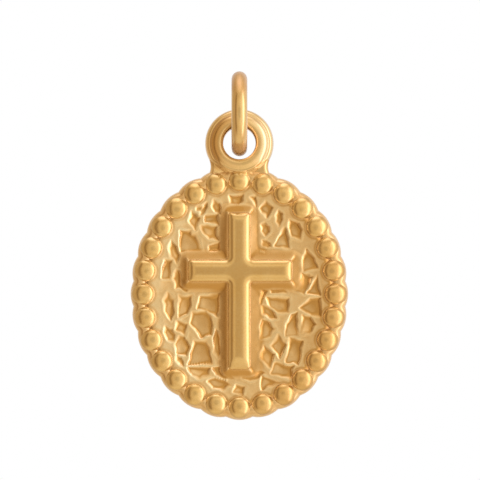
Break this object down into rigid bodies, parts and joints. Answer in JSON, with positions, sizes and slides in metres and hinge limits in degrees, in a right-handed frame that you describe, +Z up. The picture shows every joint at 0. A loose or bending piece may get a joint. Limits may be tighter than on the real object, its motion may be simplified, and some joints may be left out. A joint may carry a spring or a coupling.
{
  "type": "cross charm",
  "caption": "Oval gold charm with a raised cross on a punched field, a beaded rim and an eyelet, swinging from a plain jump ring.",
  "frame": {"origin": "the inside top of the jump ring, where the charm hangs from a bracelet link, a chain or an earring", "axes": "+Z up along the hanging charm, -Y the front with the cross, +X to the right of the front view"},
  "size_m": [0.013, 0.005, 0.0207],
  "materials": {
    "satin_gold": "gold plate, satin in the field and polished on the beads and the cross",
    "polished_gold": "polished gold plate on round wire"
  },
  "bodies": {
    "ring": {"jump_ring": "polished_gold"},
    "medal": {"medal": "satin_gold"}
  },
  "joints": [
    {"name": "swing", "type": "hinge", "parent": "ring", "child": "medal", "pos_m": [0, 0, -0.00159], "axis": [1, 0, 0], "range_deg": [-90, 90]}
  ]
}
